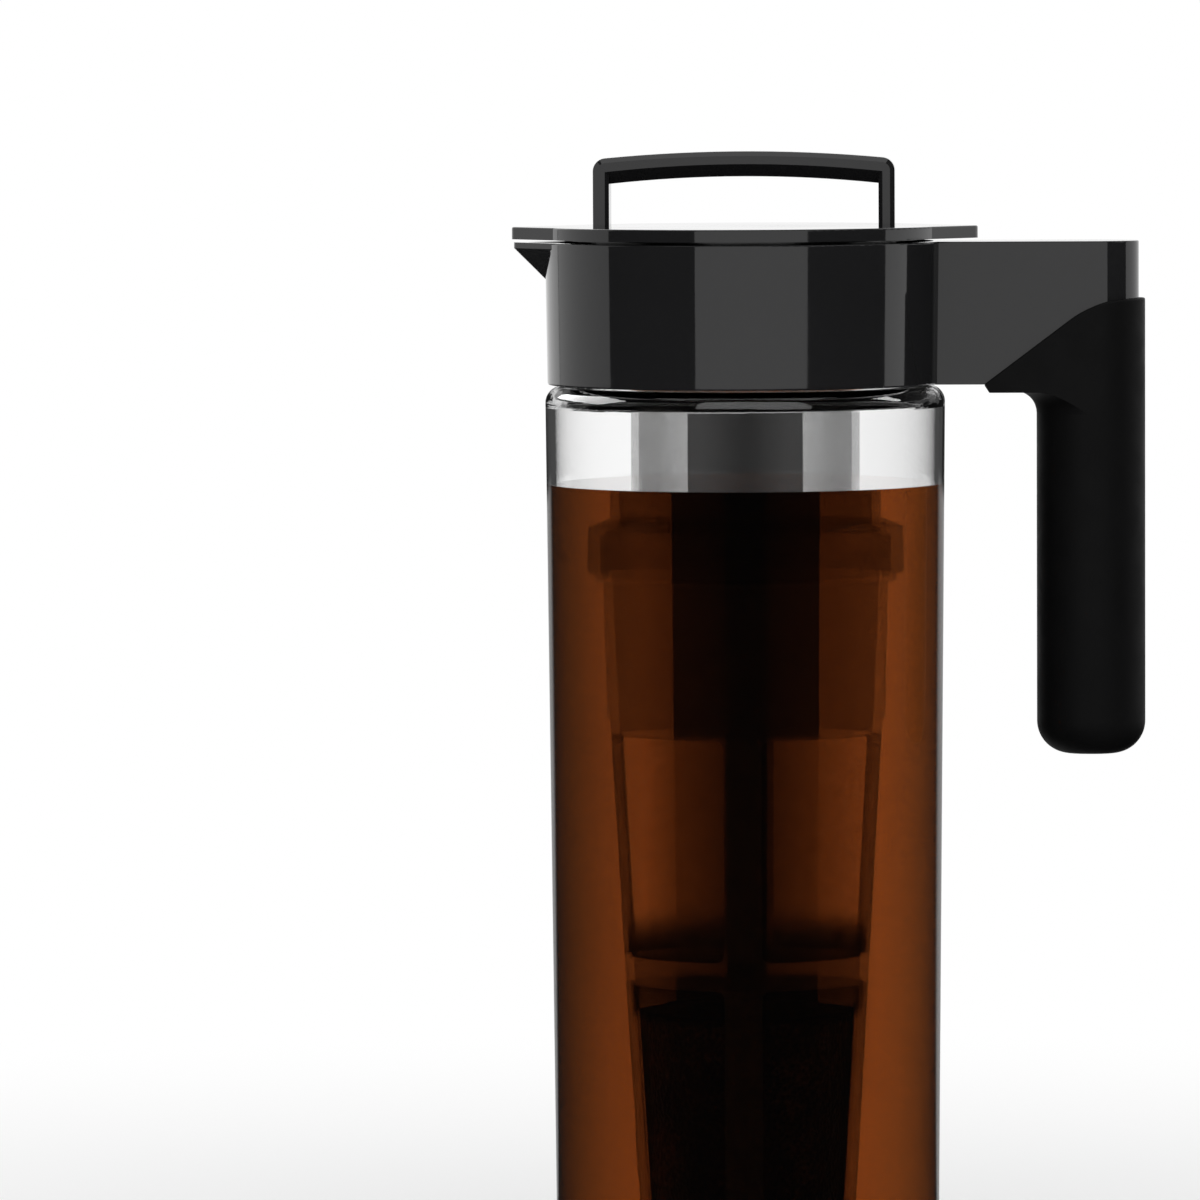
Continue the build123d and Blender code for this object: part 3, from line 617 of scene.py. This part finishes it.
def ring_edges(mesh, radius, height, tolerance=1e-5):
    """The edges of a ring of that radius and height about Z."""
    def on_ring(vert):
        return abs(vert.co.xy.length - radius) < tolerance and abs(vert.co.z - height) < tolerance

    return [edge for edge in mesh.edges if all(on_ring(vert) for vert in edge.verts)]


def new_object(name, mesh, material):
    """Turns a finished bmesh into an object of that material."""
    data = bpy.data.meshes.new(name)
    mesh.to_mesh(data)
    mesh.free()
    data.materials.append(material)
    item = bpy.data.objects.new(name, data)
    bpy.context.scene.collection.objects.link(item)
    return item


def make_piece(name, mesh, material, body, sharp=math.radians(35)):
    """Turns a finished bmesh into a smooth-shaded piece that rides on a body."""
    piece = new_object(name, mesh, material)
    piece.data.shade_smooth()
    piece.data.set_sharp_from_angle(angle=sharp)
    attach(piece, body)


def inside_radius(height):
    """The coffee's radius at a height, where it wets the glass."""
    contents = bpy.context.scene.carafe_contents
    spread = (height - contents.coffee_floor) * contents.coffee_spread
    return contents.coffee_foot + spread + contents.coffee_wetting


# ------------------------------------------------------------------------------------------------
# Operators
# ------------------------------------------------------------------------------------------------


class COLDBREW_OT_effects(bpy.types.Operator):
    """Build the shader groups that the finishes share"""

    bl_idname = "cold_brew.effects"
    bl_label = "Shared effects"

    def execute(self, context):
        build_moulded_surface()
        build_settled_dust()
        build_woven_threads()
        return {"FINISHED"}


class COLDBREW_OT_glass(bpy.types.Operator):
    """Finish the blown glass body"""

    bl_idname = "cold_brew.glass"
    bl_label = "Glass body"

    def execute(self, context):
        dress(carafe_glass(), "glass_carafe")
        return {"FINISHED"}


class COLDBREW_OT_gloss_parts(bpy.types.Operator):
    """Finish the collar, the lid and the lid's arch in polished black"""

    bl_idname = "cold_brew.gloss_parts"
    bl_label = "Collar and lid"

    def execute(self, context):
        finishes = context.scene.maker_finishes
        gloss = opaque_plastic(
            "polished black plastic", finishes.gloss_black, smoothest=0.035, roughest=0.07,
            cloud_scale=30.0, grain_scale=900.0, grain_depth=0.0015 * MM, dust=0.015, IOR=1.5,
        )
        dress(gloss, "collar_shell", "lid_cover", "lid_handle")
        return {"FINISHED"}


class COLDBREW_OT_inner_parts(bpy.types.Operator):
    """Finish the plug, the liner, the retaining rings and the grip's core in satin black"""

    bl_idname = "cold_brew.inner_parts"
    bl_label = "Inner plastic"

    def execute(self, context):
        finishes = context.scene.maker_finishes
        satin = opaque_plastic(
            "satin black plastic", finishes.inner_black, smoothest=0.16, roughest=0.28, cloud_scale=80.0,
            grain_scale=2600.0, grain_depth=0.006 * MM, dust=0.0, IOR=1.5,
        )
        dress(satin, "lid_plug", "collar_liner", "neck_retainer_front", "neck_retainer_rear", "handle_core")
        return {"FINISHED"}


class COLDBREW_OT_grip(bpy.types.Operator):
    """Finish the handle grip in matt soft-touch rubber"""

    bl_idname = "cold_brew.grip"
    bl_label = "Soft grip"

    def execute(self, context):
        finishes = context.scene.maker_finishes
        soft = opaque_plastic(
            "soft touch rubber", finishes.grip_black, smoothest=0.52, roughest=0.62, cloud_scale=120.0,
            grain_scale=5200.0, grain_depth=0.03 * MM, dust=0.02, IOR=1.35, Specular_IOR_Level=0.22,
        )
        dress(soft, "handle_grip")
        return {"FINISHED"}


class COLDBREW_OT_seals(bpy.types.Operator):
    """Finish the soft sealing rings"""

    bl_idname = "cold_brew.seals"
    bl_label = "Seals"

    def execute(self, context):
        finishes = context.scene.maker_finishes
        silicone = opaque_plastic(
            "silicone", finishes.seal_grey, smoothest=0.34, roughest=0.46, cloud_scale=150.0,
            grain_scale=3600.0, grain_depth=0.01 * MM, dust=0.0, IOR=1.41,
        )
        dress(silicone, "neck_seal", "lid_seal", "stem_gasket")
        return {"FINISHED"}


class COLDBREW_OT_screws(bpy.types.Operator):
    """Finish the screws that hold the grip's core"""

    bl_idname = "cold_brew.screws"
    bl_label = "Screws"

    def execute(self, context):
        dress(plated_steel(), "core_screws")
        return {"FINISHED"}


class COLDBREW_OT_stem_and_filter(bpy.types.Operator):
    """Finish the stem and the filter's frame in smoke plastic, and its panels in woven mesh"""

    bl_idname = "cold_brew.stem_and_filter"
    bl_label = "Stem and filter"

    def execute(self, context):
        finishes = context.scene.maker_finishes
        cap_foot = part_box("filter_gasket")[0].z
        # heights of the band of painted shade on the cap's chamfer
        chamfer_shade_band = (cap_foot + 12.0 * MM, cap_foot + 15.2 * MM)
        stem_plastic = smoke_plastic(
            "smoke plastic", finishes.smoke, film=0.205, most_slant=1.6, thick=chamfer_shade_band
        )
        dress(stem_plastic, "stem")
        frame_plastic = smoke_plastic(
            "stained plastic", finishes.stained, film=0.17, most_slant=1.5, clear_from=cap_foot,
            ribs=(upper_mesh_high.z, lower_mesh_high.z, upper_mesh_low.z),
        )
        dress(frame_plastic, "filter_frame")
        dress(smoke_plastic("clear silicone", finishes.smoke, film=0.08, most_slant=1.3), "filter_gasket")
        grounds = context.scene.carafe_contents.grounds_level
        fines_above_grounds = 7.0 * MM
        upper = filter_mesh("upper filter mesh", False, fines_top=upper_mesh_low.z, fines_most=0.72)
        lower = filter_mesh("lower filter mesh", False, grounds + fines_above_grounds, 0.47, grounds)
        floor = filter_mesh("woven floor mesh", True, fines_top=0.0, fines_most=0.0)
        dress(upper, "mesh_upper")
        dress(lower, "mesh_lower")
        dress(floor, "mesh_floor")
        return {"FINISHED"}


class COLDBREW_OT_coffee(bpy.types.Operator):
    """Fill the carafe with coffee"""

    bl_idname = "cold_brew.coffee"
    bl_label = "Coffee"

    def execute(self, context):
        contents = context.scene.carafe_contents
        segments, heel_segments = 144, 8
        floor, level = contents.coffee_floor - contents.coffee_wetting, contents.coffee_level
        foot_radius, top_radius = inside_radius(floor), inside_radius(level)
        mesh = turned([(0.0, floor), (foot_radius, floor), (top_radius, level), (0.0, level)], segments)
        bmesh.ops.bevel(
            mesh, geom=ring_edges(mesh, foot_radius, floor), offset=contents.coffee_heel,
            offset_type="OFFSET", affect="EDGES", segments=heel_segments, profile=0.5, material=-1,
        )
        make_piece("coffee", mesh, coffee_liquid(), "carafe")
        return {"FINISHED"}


class COLDBREW_OT_grounds(bpy.types.Operator):
    """Fill the lower part of the filter with ground coffee"""

    bl_idname = "cold_brew.grounds"
    bl_label = "Ground coffee"

    def execute(self, context):
        contents = context.scene.carafe_contents
        segments, rings = 96, 14
        play, frame_wall, mesh_inset = 0.1 * MM, 2.0 * MM, 0.8 * MM
        bottom, top = floor_mesh_high.z + play, contents.grounds_level
        slope = (upper_mesh_high.x - lower_mesh_high.x) / (upper_mesh_high.z - lower_mesh_high.z)

        def radius(height):
            """Inside the frame's ribs, which taper towards the floor."""
            mesh_radius = lower_mesh_high.x - slope * (lower_mesh_high.z - height)
            return mesh_radius + mesh_inset - frame_wall - play

        foot = lower_mesh_low.z
        profile = [(0.0, bottom), (floor_mesh_high.x - play, bottom), (radius(foot), foot)]
        for i in range(rings + 1):
            share = 1 - i / rings
            profile.append((radius(top) * share, top + contents.grounds_mound * (1 - share ** 2)))
        mesh = turned(profile, segments)
        hill_scale, small_hills, small_share, flat_rim = 160.0, 2.7, 0.45, 0.25
        for vert in mesh.verts:
            if vert.co.z > top - play:
                place = vert.co * hill_scale
                hill = noise.noise(place) + small_share * noise.noise(place * small_hills)
                inward = min(1.0, (1 - vert.co.xy.length / radius(top)) / flat_rim)
                vert.co.z += contents.grounds_unevenness * hill * inward
        make_piece("ground_coffee", mesh, wet_grounds(), "filter", sharp=math.radians(60))
        return {"FINISHED"}


def studio_panel(name, centre, size, aim, radiance):
    """A soft box: a square lamp that shows in reflections but not to the camera."""
    lamp = bpy.data.lights.new(name, "AREA")
    lamp.shape = "RECTANGLE"
    lamp.size, lamp.size_y = size
    lamp.energy = radiance * math.pi * size[0] * size[1]
    panel = bpy.data.objects.new(name, lamp)
    bpy.context.scene.collection.objects.link(panel)
    turn = (Vector(aim) - Vector(centre)).to_track_quat("-Z", "Y")
    panel.matrix_world = Matrix.Translation(centre) @ turn.to_matrix().to_4x4()
    panel.visible_camera = False
    panel.visible_transmission = False
    return panel


def link_light(lamp, pieces, state):
    """Lights only these pieces (INCLUDE), or leaves them out as a black flag would (EXCLUDE)."""
    flagged = bpy.data.collections.new(lamp.name + " pieces")
    for piece in pieces:
        flagged.objects.link(piece)
    lamp.light_linking.receiver_collection = flagged
    for item in flagged.collection_objects:
        item.light_linking.link_state = state


def build_room_through_glass(setup):
    """How bright the room is to rays that come out of glass, from the direction in which they leave."""
    group, start, end = node_group(
        "Room through glass",
        [("X", 0.0), ("Y", 1.0), ("Behind", 1.0)],
        ["Clear", "Rim", "Scattered"],
    )
    rim_elsewhere, scattered_elsewhere = 0.004, 0.01
    clear = add_range(group, start.outputs["X"], -0.5, 0.5, setup.left_level, setup.right_level)
    group.links.new(clear, end.inputs["Clear"])
    rim = add_range(group, start.outputs["Y"], 0.7, 0.9, rim_elsewhere, start.outputs["Behind"])
    group.links.new(rim, end.inputs["Rim"])
    aside = add_math(group, "ABSOLUTE", start.outputs["X"])
    scattered = add_range(group, aside, 0.8, 0.97, scattered_elsewhere, setup.side_level)
    group.links.new(scattered, end.inputs["Scattered"])
    return group


def light_by_path(tree, direction, behind, in_gloss, setup):
    """How bright the room is to each kind of ray: white to the camera and through glass, dark in gloss."""
    parts = split(tree, direction)
    room = use_group(
        tree, bpy.data.node_groups["Room through glass"], X=parts["X"], Y=parts["Y"], Behind=behind
    )
    path = tree.nodes.new("ShaderNodeLightPath")
    mirrored = add_math(tree, "GREATER_THAN", path.outputs["Glossy Depth"], 0.5)
    scattered = add_math(tree, "GREATER_THAN", path.outputs["Diffuse Depth"], 0.5)
    clear = add_range(tree, mirrored, 0.0, 1.0, room.outputs["Clear"], room.outputs["Rim"], smooth=False)
    through = add_range(tree, scattered, 0.0, 1.0, clear, room.outputs["Scattered"], smooth=False)
    level = add_range(tree, path.outputs["Is Camera Ray"], 0.0, 1.0, setup.room_level, 1.0, smooth=False)
    level = add_range(tree, path.outputs["Is Glossy Ray"], 0.0, 1.0, level, in_gloss, smooth=False)
    # a refracted ray counts as glossy too, so this test comes last
    level = add_range(tree, path.outputs["Is Transmission Ray"], 0.0, 1.0, level, through, smooth=False)
    return path, level


def build_room(setup):
    """The world: white to the camera and through glass, dark in reflections, level on matt surfaces."""
    world = bpy.data.worlds.new("studio")
    world.use_nodes = True
    bpy.context.scene.world = world
    tree = world.node_tree
    direction = tree.nodes.new("ShaderNodeTexCoord").outputs["Generated"]
    _, level = light_by_path(tree, direction, 1.0, setup.gloss_level, setup)
    tree.links.new(level, tree.nodes["Background"].inputs["Color"])


def build_floor(setup):
    """A round pale floor that keeps the maker's shadow and turns to plain white further out."""
    gloss_near, gloss_far, gloss_behind = 4.0, 4.4, 0.42
    shadow_near, shadow_far = 0.1, 0.7
    mesh = bmesh.new()
    bmesh.ops.create_circle(mesh, cap_ends=True, segments=96, radius=setup.floor_radius)
    material, tree, shader = new_material("pale floor", Roughness=0.8, Specular_IOR_Level=0.1)
    shader.inputs["Base Color"].default_value = colour4(setup.floor_colour)
    place = object_place(tree)
    length = tree.nodes.new("ShaderNodeVectorMath")
    length.operation = "LENGTH"
    tree.links.new(place, length.inputs[0])
    direction = tree.nodes.new("ShaderNodeVectorMath")
    direction.operation = "NORMALIZE"
    tree.links.new(place, direction.inputs[0])
    ahead = add_range(tree, split(tree, direction.outputs["Vector"])["Y"], 0.86, 0.92, 0.0, 1.0)
    near = add_range(tree, length.outputs["Value"], gloss_near, gloss_far, 1.0, 0.0)
    behind = add_math(tree, "MULTIPLY", ahead, near)
    in_gloss = add_range(tree, behind, 0.0, 1.0, setup.gloss_level, gloss_behind, smooth=False)
    path, level = light_by_path(tree, direction.outputs["Vector"], setup.rim_level, in_gloss, setup)
    far = add_range(tree, length.outputs["Value"], shadow_near, shadow_far, 0.0, 1.0)
    glowing = add_math(tree, "MAXIMUM", far, path.outputs["Is Glossy Ray"])
    glow = tree.nodes.new("ShaderNodeEmission")
    tree.links.new(level, glow.inputs["Color"])
    mix_surface(tree, glowing, shader, glow)
    floor = new_object("floor", mesh, material)


def studio_card(name, centre, width, height, turn, material):
    """An upright card, turned about Z, that only rays which have passed through glass or coffee meet."""
    mesh = bmesh.new()
    bmesh.ops.create_grid(mesh, x_segments=1, y_segments=1, size=0.5)
    bmesh.ops.scale(mesh, vec=(width, height, 1.0), verts=mesh.verts)
    upright = Matrix.Rotation(math.radians(90), 3, "X")
    bmesh.ops.rotate(mesh, cent=(0, 0, 0), matrix=upright, verts=mesh.verts)
    card = new_object(name, mesh, material)
    card.matrix_world = Matrix.Translation(centre) @ Matrix.Rotation(turn, 4, "Z")
    card.visible_camera = card.visible_diffuse = card.visible_glossy = False
    card.visible_shadow = card.visible_volume_scatter = False


def black_strip():
    """A black strip on a clear card: hard edges at the top, soft ones further down, and a foot that fades.

    Heights are from the card's middle. The strip is faint behind the windows of the filter's upper tier."""
    half_width, edge, core_half, core_edge = 21.2 * MM, 0.2 * MM, 5.5 * MM, 0.3 * MM
    left_reach, right_reach, blur = 55.0 * MM, 34.0 * MM, 1.0 * MM
    hard, fade = (62.5 * MM, 66.5 * MM), (-130.0 * MM, -90.0 * MM)
    faint_top, faint_foot = (-11.5 * MM, -9.0 * MM), (-80.5 * MM, -77.5 * MM)
    material = bpy.data.materials.new("black strip")
    material.use_nodes = True
    tree = material.node_tree
    tree.nodes.remove(tree.nodes["Principled BSDF"])
    parts = split(tree, object_place(tree))
    aside, up = add_math(tree, "ABSOLUTE", parts["X"]), parts["Z"]
    above = add_range(tree, up, *hard, 0.0, 1.0)
    under_top = add_range(tree, up, *faint_top, 1.0, 0.0)
    over_foot = add_range(tree, up, *faint_foot, 0.0, 1.0)
    faint = add_math(tree, "MULTIPLY", under_top, over_foot)
    middle = add_range(tree, faint, 0.0, 1.0, 0.98, 0.86, smooth=False)
    side = add_range(tree, faint, 0.0, 1.0, 0.945, 0.62, smooth=False)
    inside = add_range(tree, aside, core_half + 0.5 * MM, half_width, middle, side, smooth=False)
    inside = add_math(tree, "MAXIMUM", inside, above)
    within = add_range(tree, aside, half_width - edge, half_width + edge, 1.0, 0.0)
    inside = add_math(tree, "MULTIPLY", inside, within)
    reach = add_range(tree, parts["X"], -blur, blur, left_reach, right_reach)
    outside = add_range(tree, aside, half_width - edge, reach, 0.5, 0.0, smooth=False)
    outside = add_math(tree, "MULTIPLY", outside, add_math(tree, "SUBTRACT", 1.0, above))
    core = add_range(tree, aside, core_half - core_edge, core_half + core_edge, 1.0, 0.0)
    cover = add_math(tree, "MAXIMUM", add_math(tree, "MAXIMUM", inside, outside), core)
    cover = add_math(tree, "MULTIPLY", cover, add_range(tree, up, *fade, 0.0, 1.0))
    card = tree.nodes.new("ShaderNodeEmission")
    grey = add_range(tree, aside, 0.0, half_width - edge, 0.06, 0.14)
    tree.links.new(add_math(tree, "MULTIPLY", above, grey), card.inputs["Color"])
    mix_surface(tree, cover, tree.nodes.new("ShaderNodeBsdfTransparent"), card)
    return material


def place_lamps():
    """Boxes that leave the glass and the coffee alone, three that only the glass catches, and one above."""
    glass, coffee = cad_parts["glass_carafe"], bpy.data.objects["coffee"]
    for name, centre, size, aim, radiance in (
        ("front softbox", (0.17, -1.2, 0.62), (1.52, 1.5), (0.17, 0.0, 0.62), 1.0),
        ("left wall", (-2.6, 1.1, 1.2), (2.9, 3.4), (0.0, 1.1, 1.2), 0.75),
        ("right wall", (2.6, 1.3, 1.2), (2.6, 3.4), (0.0, 1.3, 1.2), 1.0),
        ("back wall", (0.0, 2.6, 1.2), (5.2, 3.4), (0.0, 0.0, 1.2), 1.0),
    ):
        panel = studio_panel(name, centre, size, aim, radiance)
        panel.visible_diffuse = name == "front softbox"
        link_light(panel, [glass, coffee], "EXCLUDE")
    for name, centre, size, aim, radiance in (
        ("shoulder light", (0.17, -1.2, 1.05), (1.52, 1.3), (0.17, 0.0, 1.05), 2.2),
        ("left shoulder light", (-1.25, 0.62, 1.02), (1.7, 0.8), (0.0, 0.0, 0.25), 9.0),
        ("right shoulder light", (1.28, 0.53, 1.07), (0.7, 0.6), (0.0, 0.0, 0.25), 9.0),
    ):
        panel = studio_panel(name, centre, size, aim, radiance)
        panel.visible_diffuse = False
        link_light(panel, [glass], "INCLUDE")
    studio_panel("top softbox", (0.0, 0.1, 1.6), (1.6, 1.3), (0.0, 0.0, 0.2), 1.1)


def place_camera(setup):
    """Sets the camera by where it stands and how it is turned."""
    stand, distance = setup.camera_turn, setup.camera_distance
    position = Vector((math.sin(stand) * distance, -math.cos(stand) * distance, setup.camera_height))
    heading = setup.camera_turn + setup.camera_yaw
    level = Vector((-math.sin(heading), math.cos(heading), 0.0))
    forward = level * math.cos(setup.camera_pitch) - Vector((0, 0, math.sin(setup.camera_pitch)))
    right = Vector((math.cos(heading), math.sin(heading), 0.0))
    up = right.cross(forward)
    cosine, sine = math.cos(setup.camera_roll), math.sin(setup.camera_roll)
    leaned_right = right * cosine + up * sine
    leaned_up = up * cosine - right * sine
    data = bpy.data.cameras.new("camera")
    data.sensor_width = 36.0
    data.lens = setup.camera_lens
    data.clip_start, data.clip_end = 0.05, 60.0
    camera = bpy.data.objects.new("camera", data)
    bpy.context.scene.collection.objects.link(camera)
    turn = Matrix((leaned_right, leaned_up, -forward)).transposed()
    camera.matrix_world = Matrix.Translation(position) @ turn.to_4x4()
    bpy.context.scene.camera = camera


class COLDBREW_OT_stage(bpy.types.Operator):
    """Set up the floor, the lamps, the dark strip behind the glass and the camera"""

    bl_idname = "cold_brew.stage"
    bl_label = "Stage"

    def execute(self, context):
        setup = context.scene.studio_setup
        build_room_through_glass(setup)
        build_room(setup)
        build_floor(setup)
        place_lamps()
        turn, distance, width, height = setup.camera_turn, 0.3715, 0.12, 0.285
        centre = Vector((-math.sin(turn) * distance, math.cos(turn) * distance, height / 2))
        studio_card("dark strip", centre, width, height, turn, black_strip())
        place_camera(setup)
        context.scene.view_settings.view_transform = "Standard"
        return {"FINISHED"}


class COLDBREW_PT_panel(bpy.types.Panel):
    """Lists the maker's sizes, colours and operators"""

    bl_idname = "COLDBREW_PT_panel"
    bl_label = "Cold brew coffee maker"
    bl_space_type = "VIEW_3D"
    bl_region_type = "UI"
    bl_category = "Cold Brew"

    def draw(self, context):
        layout = self.layout
        for operator in operators:
            layout.operator(operator.bl_idname)
        for group in settings_groups:
            settings = getattr(context.scene, group)
            box = layout.box()
            for name in settings.bl_rna.properties.keys():
                if name not in ("rna_type", "name"):
                    box.prop(settings, name)


settings_groups = {
    "carafe_contents": CarafeContents,
    "maker_finishes": MakerFinishes,
    "studio_setup": StudioSetup,
}
operators = (
    COLDBREW_OT_effects,
    COLDBREW_OT_glass,
    COLDBREW_OT_gloss_parts,
    COLDBREW_OT_inner_parts,
    COLDBREW_OT_grip,
    COLDBREW_OT_seals,
    COLDBREW_OT_screws,
    COLDBREW_OT_stem_and_filter,
    COLDBREW_OT_coffee,
    COLDBREW_OT_grounds,
    COLDBREW_OT_stage,
)


def register():
    for group in settings_groups.values():
        bpy.utils.register_class(group)
    for name, group in settings_groups.items():
        setattr(bpy.types.Scene, name, PointerProperty(type=group))
    for item in (*operators, COLDBREW_PT_panel):
        bpy.utils.register_class(item)


def unregister():
    for item in reversed((*operators, COLDBREW_PT_panel)):
        bpy.utils.unregister_class(item)
    for name in settings_groups:
        delattr(bpy.types.Scene, name)
    for group in reversed(list(settings_groups.values())):
        bpy.utils.unregister_class(group)


def main():
    register()
    bpy.ops.cold_brew.effects()
    bpy.ops.cold_brew.glass()
    bpy.ops.cold_brew.gloss_parts()
    bpy.ops.cold_brew.inner_parts()
    bpy.ops.cold_brew.grip()
    bpy.ops.cold_brew.seals()
    bpy.ops.cold_brew.screws()
    bpy.ops.cold_brew.stem_and_filter()
    bpy.ops.cold_brew.coffee()
    bpy.ops.cold_brew.grounds()
    bpy.ops.cold_brew.stage()


if __name__ == "__main__":
    main()
